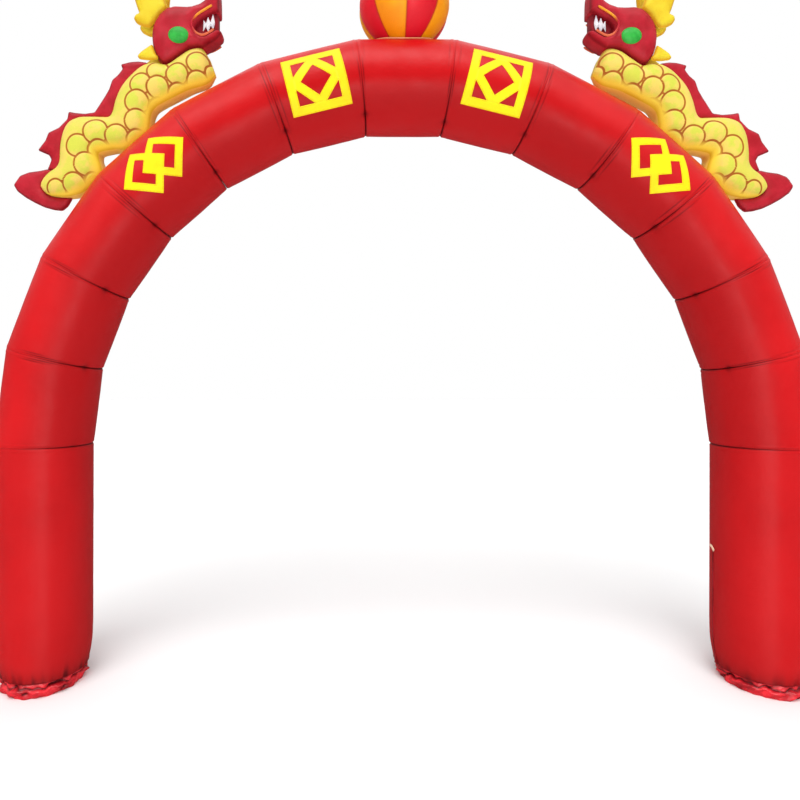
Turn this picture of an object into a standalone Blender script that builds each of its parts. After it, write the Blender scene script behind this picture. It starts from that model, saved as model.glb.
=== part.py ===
"""An inflatable celebration arch: a mitred cloth tube on two legs, with two inflated dragons
climbing its shoulders towards a striped ball on the crown.

Metres, +Z up. X runs across the span, Y through the tube, and the origin is on the ground
midway between the legs. The front is at -Y.
"""

import math
from collections import namedtuple

import bmesh
import bpy
from mathutils import Matrix, Vector

# ---------------------------------------------------------------- driving dimensions

SPAN = 8.0                    # from the outside of one leg to the outside of the other
TUBE_RADIUS = 0.44
LEG_HEIGHT = 2.33             # from the ground to the seam where the arch begins
PANEL_COUNT = 13              # mitred panels between the two legs
SIDES = 24                    # flats around the tube
DRAW_IN = 0.008               # how far the cloth is drawn in at a seam
DRAWN_FROM = 0.82             # share of the way to the seam where the drawing in shows
GAP = 0.0003                  # left between pieces that touch
BODY_CLEARANCE = 0.002        # left round a dragon's body, whose sides slope along its ribs

TURN = math.pi / PANEL_COUNT
MITRE = math.tan(TURN / 2)
VERTEX_RADIUS = SPAN / 2 - TUBE_RADIUS          # from the arch's centre to a corner of its centre line
APOTHEM = VERTEX_RADIUS * math.cos(TURN / 2)
PANEL_LENGTH = 2 * VERTEX_RADIUS * math.sin(TURN / 2)
CROWN = LEG_HEIGHT + APOTHEM + TUBE_RADIUS      # top of the tube
FLAT = math.tau / SIDES

BASE_HEIGHT = 0.13            # the gathered base under each leg

BALL_RADIUS = 0.445
BALL_CENTRE = CROWN + 0.341
BALL_GORES = 8
GORE_DIP = 0.012              # how far the seams between gores lie under the gores
PIPING_RADIUS = 0.008

MOTIF_THICKNESS = 0.003
LOZENGE_HALF = 0.250          # half the diagonal of each lozenge in a double one
LOZENGE_APART = 0.115         # of each lozenge's middle from the motif's
LOZENGE_STROKE = 0.100        # measured along the lozenge's diagonal
SQUARE_HALF = 0.285           # half the side of a framed lozenge's outer square
SQUARE_STROKE = 0.082

ZIP_LOW = 0.135
ZIP_HIGH = 1.27
ZIP_WIDTH = 0.034
ZIP_THICKNESS = 0.003
PULL_SIZE = (0.012, 0.026, 0.045)
PULL_HEIGHT = 1.294
PULL_ROUNDING = 0.004

HEAD_THICKNESS = 0.30
HEAD_ROUNDING = 0.05
MOUTH_THICKNESS = 0.16
TOOTH_THICKNESS = 0.03
LIP_RADIUS = 0.012
CREST_THICKNESS = 0.07
FLUKE_THICKNESS = 0.09
HORN_THICKNESS = 0.10
HORN_OFFSET = 0.085           # of each horn's middle from the dragon's middle plane
EAR_THICKNESS = 0.06
EAR_OFFSET = 0.10
EYE_RADII = (0.102, 0.035, 0.083)
EYE_PLACE = (2.204, 6.326)

# ---------------------------------------------------------------- tables

# One leg and its base from the top down, as a turned profile.
Profile = namedtuple("Profile", "radius height")
LEG_PROFILE = [
    Profile(TUBE_RADIUS - DRAW_IN, LEG_HEIGHT - GAP / 2),
    Profile(TUBE_RADIUS, LEG_HEIGHT - 0.08),
    Profile(TUBE_RADIUS, 0.36),
    Profile(0.431, 0.22),
    Profile(0.415, BASE_HEIGHT + GAP),
]
BASE_PROFILE = [
    Profile(0.415, BASE_HEIGHT),
    Profile(0.432, 0.09),
    Profile(0.436, 0.045),
    Profile(0.424, 0.012),
    Profile(0.410, 0.0),
]

# A dragon's body, a row for each rib from chest to tail: where the rib's back and belly
# points lie, out from the centre plane and up from the ground, and the rib's thickness.
Rib = namedtuple("Rib", "back_out back_up belly_out belly_up thickness")
BODY_RIBS = [
    Rib(1.926, 6.150, 1.868, 5.985, 0.10),
    Rib(2.000, 6.250, 1.944, 5.885, 0.24),
    Rib(2.105, 6.235, 2.108, 5.826, 0.31),
    Rib(2.215, 6.160, 2.216, 5.775, 0.33),
    Rib(2.335, 6.085, 2.303, 5.730, 0.33),
    Rib(2.476, 6.104, 2.382, 5.686, 0.34),
    Rib(2.603, 6.058, 2.438, 5.650, 0.34),
    Rib(2.714, 5.958, 2.470, 5.612, 0.34),
    Rib(2.794, 5.855, 2.488, 5.560, 0.34),
    Rib(2.850, 5.730, 2.498, 5.480, 0.34),
    Rib(2.881, 5.612, 2.520, 5.390, 0.34),
    Rib(2.915, 5.566, 2.620, 5.312, 0.33),
    Rib(2.985, 5.566, 2.726, 5.235, 0.33),
    Rib(3.095, 5.569, 2.850, 5.232, 0.33),
    Rib(3.206, 5.561, 2.950, 5.215, 0.34),
    Rib(3.302, 5.518, 2.995, 5.200, 0.34),
    Rib(3.357, 5.434, 3.003, 5.180, 0.35),
    Rib(3.386, 5.331, 2.998, 5.140, 0.35),
    Rib(3.397, 5.220, 2.975, 5.075, 0.36),
    Rib(3.403, 5.124, 2.965, 4.985, 0.36),
    Rib(3.437, 5.058, 3.030, 4.915, 0.35),
    Rib(3.508, 5.013, 3.150, 4.815, 0.32),
    Rib(3.564, 4.958, 3.318, 4.775, 0.26),
    Rib(3.592, 4.902, 3.476, 4.788, 0.18),
    Rib(3.588, 4.862, 3.548, 4.818, 0.06),
]
RIB_POINTS = 12

# Outlines of a dragon's flat-sided pieces: (out from the centre plane, up from the ground).
HEAD = [
    (2.478, 6.330), (2.476, 6.410), (2.450, 6.488), (2.401, 6.561), (2.332, 6.620),
    (2.244, 6.640), (2.165, 6.632), (2.087, 6.636), (2.010, 6.662), (1.954, 6.702),
    (1.925, 6.770), (1.898, 6.822), (1.862, 6.838), (1.832, 6.800), (1.828, 6.720),
    (1.826, 6.600), (1.812, 6.520), (1.800, 6.440), (1.808, 6.372), (1.866, 6.316),
    (1.975, 6.248), (2.060, 6.190), (2.190, 6.118), (2.315, 6.068), (2.385, 6.095),
    (2.440, 6.160), (2.470, 6.250),
]
MOUTH_TOP, MOUTH_BOTTOM = 6.588, 6.405
MOUTH_BACK = [
    (1.855, MOUTH_BOTTOM), (1.905, 6.372), (1.965, 6.338), (2.025, 6.366), (2.058, 6.430),
    (2.010, 6.492), (1.925, 6.545), (1.855, MOUTH_TOP),
]
MOUTH_FRONT = 1.700           # past the snout, so that the mouth is open there
LINING_FRONT = 1.846
TEETH = [
    (1.972, 6.500), (1.948, 6.468), (1.928, 6.530), (1.906, 6.474), (1.880, 6.556),
    (1.864, 6.490), (1.864, 6.462), (1.878, 6.410), (1.902, 6.452), (1.926, 6.388),
    (1.950, 6.440), (1.976, 6.392),
]
LIP = [
    (1.872, 6.606), (1.935, 6.569), (2.025, 6.514), (2.086, 6.432),
    (2.044, 6.345), (1.966, 6.308), (1.896, 6.346), (1.852, 6.376),
]
HORN = [
    (2.420, 6.510), (2.498, 6.430), (2.560, 6.438), (2.625, 6.470), (2.654, 6.516),
    (2.634, 6.550), (2.594, 6.562), (2.618, 6.622), (2.646, 6.710), (2.694, 6.800),
    (2.700, 6.862), (2.654, 6.898), (2.598, 6.872), (2.558, 6.812), (2.510, 6.796),
    (2.484, 6.862), (2.432, 6.912), (2.378, 6.894), (2.356, 6.830), (2.366, 6.730),
    (2.338, 6.640), (2.315, 6.605), (2.350, 6.550),
]
EAR = [
    (2.440, 6.268), (2.478, 6.250), (2.530, 6.215), (2.580, 6.180), (2.614, 6.140),
    (2.596, 6.114), (2.502, 6.104), (2.430, 6.106), (2.390, 6.150),
]
CREST = [
    (2.450, 6.050), (2.560, 6.122), (2.640, 6.133), (2.716, 6.128), (2.812, 6.104),
    (2.794, 6.060), (2.842, 5.998), (2.898, 5.950), (2.930, 5.856), (2.968, 5.790),
    (3.020, 5.708), (3.074, 5.626), (3.172, 5.612), (3.270, 5.620), (3.332, 5.632),
    (3.344, 5.560), (3.428, 5.474), (3.532, 5.424), (3.562, 5.346), (3.634, 5.252),
    (3.526, 5.206), (3.500, 5.158), (3.524, 5.094), (3.540, 5.060 + 2 * GAP), (3.380, 5.030 + 2 * GAP),
    (3.290, 5.200), (3.230, 5.360), (3.080, 5.440), (2.850, 5.480), (2.720, 5.700),
    (2.600, 5.900),
]
FLUKE = [
    (3.380, 5.030), (3.540, 5.060), (3.615, 5.043), (3.728, 5.028), (3.814, 4.994),
    (3.876, 4.905), (3.838, 4.842), (3.756, 4.782), (3.664, 4.730), (3.570, 4.686),
    (3.476, 4.660), (3.396, 4.652), (3.342, 4.696), (3.302, 4.765), (3.300, 4.900),
]

# ---------------------------------------------------------------- scene and helpers


def clear_scene():
    for obj in list(bpy.data.objects):
        bpy.data.objects.remove(obj)


def new_collection(name, hidden=False):
    made = bpy.data.collections.new(name)
    made.hide_render = hidden
    bpy.context.scene.collection.children.link(made)
    return made


def material(name, colour, roughness, metallic=0.0):
    made = bpy.data.materials.new(name)
    made.use_nodes = True
    shader = made.node_tree.nodes["Principled BSDF"]
    shader.inputs["Base Color"].default_value = (*colour, 1.0)
    shader.inputs["Roughness"].default_value = roughness
    shader.inputs["Metallic"].default_value = metallic
    made.diffuse_color = (*colour, 1.0)
    return made


def place(name, mesh, finish):
    """A mesh as one of the arch's pieces, shaded smooth across its gentle bends."""
    mesh.name = name
    mesh.materials.clear()
    mesh.materials.append(finish)
    mesh.shade_smooth()
    mesh.set_sharp_from_angle(angle=math.radians(40))
    obj = bpy.data.objects.new(name, mesh)
    ARCH.objects.link(obj)
    return obj


def as_cutter(obj):
    """Moves a piece among the cutters, which aren't part of the arch."""
    for home in list(obj.users_collection):
        home.objects.unlink(obj)
    CUTTERS.objects.link(obj)
    obj.hide_render = True
    obj.display_type = "WIRE"
    return obj


def cut(obj, *cutters):
    for cutter in cutters:
        boolean = obj.modifiers.new("cut_by_" + cutter.name, "BOOLEAN")
        boolean.operation = "DIFFERENCE"
        boolean.object = cutter
    return obj


def mesh_from_bmesh(name, shape):
    bmesh.ops.recalc_face_normals(shape, faces=shape.faces)
    if shape.calc_volume(signed=True) < 0:
        bmesh.ops.reverse_faces(shape, faces=shape.faces)
    mesh = bpy.data.meshes.new(name)
    shape.to_mesh(mesh)
    shape.free()
    return mesh


def mesh_from_curve(curve, turn=Matrix.Identity(4)):
    """The closed mesh of a bevelled or filled curve, with its caps welded on."""
    guide = bpy.data.objects.new("guide", curve)
    CUTTERS.objects.link(guide)
    graph = bpy.context.evaluated_depsgraph_get()
    mesh = bpy.data.meshes.new_from_object(guide.evaluated_get(graph))
    bpy.data.objects.remove(guide)
    shape = bmesh.new()
    shape.from_mesh(mesh)
    bpy.data.meshes.remove(mesh)
    bmesh.ops.remove_doubles(shape, verts=shape.verts, dist=1e-5)
    bmesh.ops.transform(shape, matrix=turn, verts=shape.verts)
    return mesh_from_bmesh(curve.name, shape)


def turned(name, profile, finish, out):
    """A solid of revolution about the upright line at this distance out from the centre."""
    shape = bmesh.new()
    rows = [(0.0, profile[0].height), *profile, (0.0, profile[-1].height)]
    corners = [shape.verts.new((radius, 0.0, height)) for radius, height in rows]
    for upper, lower in zip(corners, corners[1:]):
        shape.edges.new((upper, lower))
    mesh = bpy.data.meshes.new(name)
    shape.to_mesh(mesh)
    shape.free()
    obj = place(name, mesh, finish)
    obj.location.x = out
    screw = obj.modifiers.new("turn", "SCREW")
    screw.steps = SIDES
    screw.render_steps = SIDES
    screw.use_merge_vertices = True
    screw.merge_threshold = 0.0001
    return obj


def flat_mesh(name, outline, thickness, rounding=0.0, grow=0.0, holes=()):
    """An outline in the XZ plane given this thickness along Y. Rounding softens its edges
    inwards, and grow makes it larger all round."""
    curve = bpy.data.curves.new(name, "CURVE")
    curve.dimensions = "2D"
    curve.fill_mode = "BOTH"
    curve.extrude = thickness / 2 - rounding + grow
    curve.bevel_depth = rounding
    curve.bevel_resolution = 1
    curve.offset = grow - rounding
    for loop in (outline, *holes):
        spline = curve.splines.new("POLY")
        spline.points.add(len(loop) - 1)
        spline.use_cyclic_u = True
        for point, (across, up) in zip(spline.points, loop):
            point.co = (across, up, 0.0, 1.0)
    return mesh_from_curve(curve, Matrix.Rotation(math.pi / 2, 4, "X"))


def mirrored(outline, side):
    return [(side * out, up) for out, up in outline]


# ---------------------------------------------------------------- the tube


def tube_radius(share):
    """The panel's radius at this share of the way from its middle (0) to its seam (1)."""
    return TUBE_RADIUS - DRAW_IN * share ** 6


def panel_frame(index):
    """Panel 0 is the crown; others count outwards. Local Z runs along the tube, local X out."""
    angle = index * TURN
    out = Vector((math.sin(angle), 0.0, math.cos(angle)))
    along = Vector((math.cos(angle), 0.0, -math.sin(angle)))
    middle = Vector((0.0, 0.0, LEG_HEIGHT)) + APOTHEM * out
    axes = Matrix((out, along.cross(out), along)).transposed().to_4x4()
    return Matrix.Translation(middle) @ axes


def panel_mesh(name, length, radius, shares):
    """A cylinder whose rings are drawn in towards its seams and leaned over to the mitre."""
    shape = bmesh.new()
    bmesh.ops.create_cone(
        shape, cap_ends=True, segments=SIDES, radius1=1.0, radius2=1.0, depth=2.0
    )
    bmesh.ops.rotate(shape, verts=shape.verts, matrix=Matrix.Rotation(FLAT / 2, 3, "Z"))
    for share in shares:
        everything = shape.verts[:] + shape.edges[:] + shape.faces[:]
        bmesh.ops.bisect_plane(shape, geom=everything, plane_co=(0, 0, share), plane_no=(0, 0, 1))
    for vert in shape.verts:
        share = vert.co.z
        around = Vector((vert.co.x, vert.co.y)).normalized() * radius(abs(share))
        along = share * (length / 2 + around.x * MITRE - GAP / 2)
        vert.co = (around.x, around.y, along)
    return mesh_from_bmesh(name, shape)


def add_panels():
    half = PANEL_COUNT // 2
    for index in range(-half, half + 1):
        name = f"panel_{index + half + 1:02d}"
        mesh = panel_mesh(name, PANEL_LENGTH, tube_radius, (-DRAWN_FROM, DRAWN_FROM))
        place(name, mesh, RED_CLOTH).matrix_world = panel_frame(index)


def tube_cutter(index):
    """A panel a gap larger than the real one, for what sits on it."""
    mesh = panel_mesh("tube", PANEL_LENGTH + 0.02, lambda share: TUBE_RADIUS + GAP, ())
    obj = as_cutter(place(f"tube_cutter_{index}", mesh, RED_CLOTH))
    obj.matrix_world = panel_frame(index)
    return obj


def add_legs():
    for side, word in ((-1, "left"), (1, "right")):
        turned(f"leg_{word}", LEG_PROFILE, RED_CLOTH, side * VERTEX_RADIUS)
        turned(f"base_{word}", BASE_PROFILE, RED_CLOTH, side * VERTEX_RADIUS)


def leg_radius(height):
    """The leg's radius at a height, between the rows of its profile."""
    for upper, lower in zip(LEG_PROFILE, LEG_PROFILE[1:]):
        if lower.height <= height <= upper.height:
            share = (height - lower.height) / (upper.height - lower.height)
            return lower.radius + share * (upper.radius - lower.radius)
    return LEG_PROFILE[-1].radius


def add_zip():
    """The deflation zip, up a flat of the right leg that faces the opening."""
    facing = Matrix.Translation((VERTEX_RADIUS, 0, 0)) @ Matrix.Rotation(math.pi - FLAT / 2, 4, "Z")
    shape = bmesh.new()
    bmesh.ops.create_cube(shape, size=1.0)
    for row in LEG_PROFILE[2:4]:
        share = (row.height - ZIP_LOW) / (ZIP_HIGH - ZIP_LOW) - 0.5
        everything = shape.verts[:] + shape.edges[:] + shape.faces[:]
        bmesh.ops.bisect_plane(shape, geom=everything, plane_co=(0, 0, share), plane_no=(0, 0, 1))
    for vert in shape.verts:
        height = ZIP_LOW + (vert.co.z + 0.5) * (ZIP_HIGH - ZIP_LOW)
        face = leg_radius(height) * math.cos(FLAT / 2) + GAP
        vert.co = (face + (vert.co.x + 0.5) * ZIP_THICKNESS, vert.co.y * ZIP_WIDTH, height)
    bmesh.ops.transform(shape, matrix=facing, verts=shape.verts)
    place("zip_tape", mesh_from_bmesh("zip_tape", shape), ZIP_CLOTH)

    face = TUBE_RADIUS * math.cos(FLAT / 2) + GAP
    pull = bmesh.new()
    where = Matrix.Translation((face + PULL_SIZE[0] / 2, 0, PULL_HEIGHT))
    bmesh.ops.create_cube(pull, size=1.0, matrix=where @ Matrix.Diagonal((*PULL_SIZE, 1.0)))
    bmesh.ops.bevel(pull, geom=pull.edges[:], offset=PULL_ROUNDING, segments=1, affect="EDGES")
    bmesh.ops.transform(pull, matrix=facing, verts=pull.verts)
    place("zip_pull", mesh_from_bmesh("zip_pull", pull), PALE_CLOTH)


# ---------------------------------------------------------------- the motifs


def double_lozenge():
    """Two overlapped lozenge frames: (outline, holes)."""
    apart, outer = LOZENGE_APART, LOZENGE_HALF
    inner = outer - LOZENGE_STROKE
    outline = [
        (-apart - outer, 0), (-apart, outer), (0, outer - apart), (apart, outer),
        (apart + outer, 0), (apart, -outer), (0, apart - outer), (-apart, -outer),
    ]
    notch = LOZENGE_STROKE / 2
    side = [
        (apart + inner, 0), (apart, inner), (notch, outer - apart - notch),
        (outer - apart, 0), (notch, apart - outer + notch), (apart, -inner),
    ]
    other = [(-across, up) for across, up in side]
    return outline, [side, other]


def framed_lozenge():
    """A square frame with a lozenge frame inside it: (outline, holes)."""
    half = SQUARE_HALF
    inner = half - SQUARE_STROKE
    outline = [(-half, -half), (half, -half), (half, half), (-half, half)]
    start = SQUARE_STROKE * math.sqrt(2) / 2
    corners = []
    for right in (-1, 1):
        for up in (-1, 1):
            corners.append([
                (right * inner, up * inner),
                (right * inner, up * start),
                (right * start, up * inner),
            ])
    across = inner - start
    return outline, corners + [[(-across, 0.0), (0.0, across), (across, 0.0), (0.0, -across)]]


def wrap_round_tube(mesh):
    """Bends a flat motif round the front of a panel, along the tube's own flats. It comes with
    its width along local X, its height along Z and its thickness along Y."""
    shape = bmesh.new()
    shape.from_mesh(mesh)
    chord = 2 * TUBE_RADIUS * math.sin(FLAT / 2)
    for step in range(-5, 6):
        everything = shape.verts[:] + shape.edges[:] + shape.faces[:]
        bmesh.ops.bisect_plane(
            shape, geom=everything, plane_co=(0, 0, (step + 0.5) * chord), plane_no=(0, 0, 1)
        )
    for vert in shape.verts:
        run = vert.co.z / chord + 0.5
        first = math.floor(run + 1e-6)
        share = run - first
        lift = 1 + (2 * GAP + (MOTIF_THICKNESS / 2 - vert.co.y)) / TUBE_RADIUS
        ends = []
        for turn in (first, first + 1):
            angle = (turn - 0.5) * FLAT
            ends.append(Vector((math.sin(angle), math.cos(angle))))
        round_tube = ends[0].lerp(ends[1], share) * TUBE_RADIUS * lift
        vert.co = (round_tube.x, round_tube.y, vert.co.x)
    made = mesh_from_bmesh(mesh.name, shape)
    bpy.data.meshes.remove(mesh)
    return made


def add_motifs():
    """Two double lozenges low on the shoulders and two framed lozenges beside the crown."""
    for side, word in ((-1, "left"), (1, "right")):
        for index, shape, where in ((3, double_lozenge(), "outer"), (1, framed_lozenge(), "inner")):
            name = f"motif_{word}_{where}"
            outline, holes = shape
            flat = flat_mesh(name, outline, MOTIF_THICKNESS, holes=holes)
            obj = place(name, wrap_round_tube(flat), YELLOW_CLOTH)
            obj.matrix_world = panel_frame(side * index)


# ---------------------------------------------------------------- the ball


def add_ball():
    """A lobed ball, cut to sit on the crown."""
    shape = bmesh.new()
    bmesh.ops.create_uvsphere(shape, u_segments=3 * BALL_GORES, v_segments=12, radius=1.0)
    for vert in shape.verts:
        across = math.atan2(vert.co.y, vert.co.x) * BALL_GORES / 2
        belt = math.hypot(vert.co.x, vert.co.y)
        vert.co *= BALL_RADIUS - GORE_DIP * belt * (1 - abs(math.sin(across)))
        vert.co.z += BALL_CENTRE
    obj = place("ball", mesh_from_bmesh("ball", shape), ORANGE_CLOTH)
    return cut(obj, CROWN_CUTTER)


def add_piping():
    """Piping laid in the corner between the ball and the tube."""
    clear = PIPING_RADIUS + 0.003
    ball, tube = BALL_RADIUS + clear, TUBE_RADIUS + clear
    axis = CROWN - TUBE_RADIUS
    curve = bpy.data.curves.new("ball_piping", "CURVE")
    curve.dimensions = "3D"
    curve.bevel_depth = PIPING_RADIUS
    curve.bevel_resolution = 1
    spline = curve.splines.new("POLY")
    count = 32
    spline.points.add(count - 1)
    spline.use_cyclic_u = True
    for step, point in enumerate(spline.points):
        angle = math.tau * step / count
        low, high = 0.0, ball
        for _ in range(40):
            reach = (low + high) / 2
            on_tube = axis + math.sqrt(max(0.0, tube ** 2 - (reach * math.sin(angle)) ** 2))
            on_ball = BALL_CENTRE - math.sqrt(ball ** 2 - reach ** 2)
            low, high = (reach, high) if on_ball < on_tube else (low, reach)
        point.co = (reach * math.cos(angle), reach * math.sin(angle), on_ball, 1.0)
    place("ball_piping", mesh_from_curve(curve), PALE_CLOTH)


# ---------------------------------------------------------------- the dragons


def body_mesh(name, side, grow=0.0):
    """A loft through the ribs: each is an oval from its back point to its belly point."""
    shape = bmesh.new()
    rings = []
    for rib in BODY_RIBS:
        back = Vector((side * rib.back_out, 0.0, rib.back_up))
        belly = Vector((side * rib.belly_out, 0.0, rib.belly_up))
        middle, arm = (back + belly) / 2, (back - belly) / 2
        arm *= 1 + grow / arm.length
        deep = Vector((0.0, rib.thickness / 2 + grow, 0.0))
        ring = []
        for step in range(RIB_POINTS):
            angle = math.tau * step / RIB_POINTS
            ring.append(shape.verts.new(middle + math.cos(angle) * arm + math.sin(angle) * deep))
        rings.append(ring)
    for end, inner in ((rings[0], rings[1]), (rings[-1], rings[-2])):
        middles = [(ring[0].co + ring[RIB_POINTS // 2].co) / 2 for ring in (end, inner)]
        outwards = (middles[0] - middles[1]).normalized()
        for vert in end:
            vert.co += grow * outwards
    for near, far in zip(rings, rings[1:]):
        for step in range(RIB_POINTS):
            after = (step + 1) % RIB_POINTS
            shape.faces.new((near[step], near[after], far[after], far[step]))
    shape.faces.new(rings[0])
    shape.faces.new(rings[-1])
    return mesh_from_bmesh(name, shape)


def add_eye(name, side, facing):
    """A domed eye, flat on the side of the head."""
    shape = bmesh.new()
    bmesh.ops.create_uvsphere(shape, u_segments=16, v_segments=8, radius=1.0)
    bmesh.ops.rotate(shape, verts=shape.verts, matrix=Matrix.Rotation(math.pi / 2, 3, "X"))
    everything = shape.verts[:] + shape.edges[:] + shape.faces[:]
    halved = bmesh.ops.bisect_plane(
        shape, geom=everything, plane_co=(0, 0, 0), plane_no=(0, -1, 0), clear_inner=True
    )
    rim = [part for part in halved["geom_cut"] if isinstance(part, bmesh.types.BMEdge)]
    bmesh.ops.edgeloop_fill(shape, edges=rim)
    for vert in shape.verts:
        across, deep, up = vert.co.x * EYE_RADII[0], vert.co.y * EYE_RADII[1], vert.co.z * EYE_RADII[2]
        vert.co = (across, deep - HEAD_THICKNESS / 2 - GAP, up)
    obj = place(name, mesh_from_bmesh(name, shape), GREEN_CLOTH)
    out, up = EYE_PLACE
    obj.location = (side * out, 0.0, up)
    obj.rotation_euler.z = math.pi if facing > 0 else 0.0


def add_lip(name, side, facing):
    """Piping round the mouth, on one side of the head."""
    curve = bpy.data.curves.new(name, "CURVE")
    curve.dimensions = "3D"
    curve.bevel_depth = LIP_RADIUS
    curve.bevel_resolution = 1
    curve.use_fill_caps = True
    spline = curve.splines.new("POLY")
    spline.points.add(len(LIP) - 1)
    for point, (out, up) in zip(spline.points, LIP):
        point.co = (side * out, facing * (HEAD_THICKNESS / 2 + LIP_RADIUS + GAP), up, 1.0)
    place(name, mesh_from_curve(curve), ORANGE_CLOTH)


def mouth(front):
    """The mouth's outline, from its back to this far out from the centre plane."""
    return [*MOUTH_BACK, (front, MOUTH_TOP), (front, MOUTH_BOTTOM)]


def add_plate(name, side, outline, thickness, finish, middle=0.0, cutters=()):
    """A flat-sided piece of a dragon, with its middle this far from the dragon's own."""
    obj = place(name, flat_mesh(name, mirrored(outline, side), thickness), finish)
    obj.location.y = middle
    return cut(obj, *cutters)


def add_dragon(side, word):
    def named(piece):
        return f"dragon_{word}_{piece}"

    def cutter(piece, mesh):
        return as_cutter(place(named(piece), mesh, RED_CLOTH))

    head_outline = mirrored(HEAD, side)
    mouth_outline = mirrored(mouth(MOUTH_FRONT), side)
    grown_body = cutter("body_cutter", body_mesh("body", side, grow=BODY_CLEARANCE))
    grown_head = cutter(
        "head_cutter", flat_mesh("head", head_outline, HEAD_THICKNESS, HEAD_ROUNDING, grow=2 * GAP)
    )
    mouth_cut = cutter("mouth_cutter", flat_mesh("mouth", mouth_outline, 2 * HEAD_THICKNESS))

    body = place(named("body"), body_mesh(named("body"), side), GOLD_CLOTH)
    cut(body, *(TUBE_CUTTERS[side * index] for index in (2, 3, 4)))
    head_mesh = flat_mesh(named("head"), head_outline, HEAD_THICKNESS, HEAD_ROUNDING)
    cut(place(named("head"), head_mesh, CRIMSON_CLOTH), mouth_cut, grown_body)

    lining = flat_mesh(named("mouth"), mirrored(mouth(LINING_FRONT), side), MOUTH_THICKNESS, grow=-GAP)
    place(named("mouth"), lining, DARK_CLOTH)
    add_plate(named("crest"), side, CREST, CREST_THICKNESS, CRIMSON_CLOTH, cutters=[grown_body])
    add_plate(named("fluke"), side, FLUKE, FLUKE_THICKNESS, CRIMSON_CLOTH, cutters=[grown_body])
    for facing, where in ((-1, "front"), (1, "rear")):
        tooth_middle = facing * (MOUTH_THICKNESS / 2 + GAP + TOOTH_THICKNESS / 2)
        add_plate(named(f"teeth_{where}"), side, TEETH, TOOTH_THICKNESS, WHITE_CLOTH, tooth_middle)
        add_plate(
            named(f"horn_{where}"), side, HORN, HORN_THICKNESS, GOLD_CLOTH,
            facing * HORN_OFFSET, [grown_head],
        )
        add_plate(
            named(f"ear_{where}"), side, EAR, EAR_THICKNESS, GOLD_CLOTH,
            facing * EAR_OFFSET, [grown_head, grown_body],
        )
        add_eye(named(f"eye_{where}"), side, facing)
        add_lip(named(f"lip_{where}"), side, facing)


# ---------------------------------------------------------------- the arch

clear_scene()
ARCH = new_collection("inflatable_arch")
CUTTERS = new_collection("cutters", hidden=True)

RED_CLOTH = material("red_cloth", (0.62, 0.012, 0.016), 0.38)
YELLOW_CLOTH = material("yellow_cloth", (0.95, 0.80, 0.01), 0.5)
GOLD_CLOTH = material("gold_cloth", (0.82, 0.68, 0.10), 0.5)
CRIMSON_CLOTH = material("crimson_cloth", (0.50, 0.015, 0.05), 0.5)
GREEN_CLOTH = material("green_cloth", (0.05, 0.50, 0.10), 0.4)
ORANGE_CLOTH = material("orange_cloth", (0.85, 0.36, 0.01), 0.45)
DARK_CLOTH = material("dark_cloth", (0.16, 0.01, 0.015), 0.6)
WHITE_CLOTH = material("white_cloth", (0.85, 0.85, 0.88), 0.5)
PALE_CLOTH = material("pale_cloth", (0.80, 0.66, 0.50), 0.5)
ZIP_CLOTH = material("zip_cloth", (0.33, 0.008, 0.012), 0.6)

CROWN_CUTTER = tube_cutter(0)
TUBE_CUTTERS = {side * index: tube_cutter(side * index) for side in (-1, 1) for index in (2, 3, 4)}

add_panels()
add_legs()
add_zip()
add_motifs()
add_ball()
add_piping()
add_dragon(-1, "left")
add_dragon(1, "right")
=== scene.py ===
"""The looks of the inflatable arch: blown-up cloth on the frame of its solids.

Metres, +Z up, front at -Y. Angles round the tube run from its outer side (0) over its front
(90 degrees) to the side that faces the opening (180 degrees).
"""

import math

import bmesh
import bpy
import numpy as np
from mathutils import Matrix, Vector
from mathutils.geometry import delaunay_2d_cdt


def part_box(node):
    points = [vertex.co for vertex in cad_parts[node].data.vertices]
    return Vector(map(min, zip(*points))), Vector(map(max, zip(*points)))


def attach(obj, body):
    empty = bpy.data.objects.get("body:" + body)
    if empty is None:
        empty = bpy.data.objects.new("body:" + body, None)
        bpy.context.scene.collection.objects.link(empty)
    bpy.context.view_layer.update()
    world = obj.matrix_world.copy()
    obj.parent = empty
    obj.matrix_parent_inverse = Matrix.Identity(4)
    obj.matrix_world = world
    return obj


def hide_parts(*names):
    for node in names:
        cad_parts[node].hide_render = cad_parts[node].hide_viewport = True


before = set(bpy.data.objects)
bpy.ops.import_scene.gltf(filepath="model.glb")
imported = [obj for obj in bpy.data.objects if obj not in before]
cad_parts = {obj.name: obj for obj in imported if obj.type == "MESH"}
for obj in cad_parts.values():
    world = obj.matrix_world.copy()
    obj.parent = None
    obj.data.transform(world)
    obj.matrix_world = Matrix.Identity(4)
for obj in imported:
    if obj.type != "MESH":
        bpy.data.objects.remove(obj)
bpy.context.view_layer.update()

# -------- sizes from the frame

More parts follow.
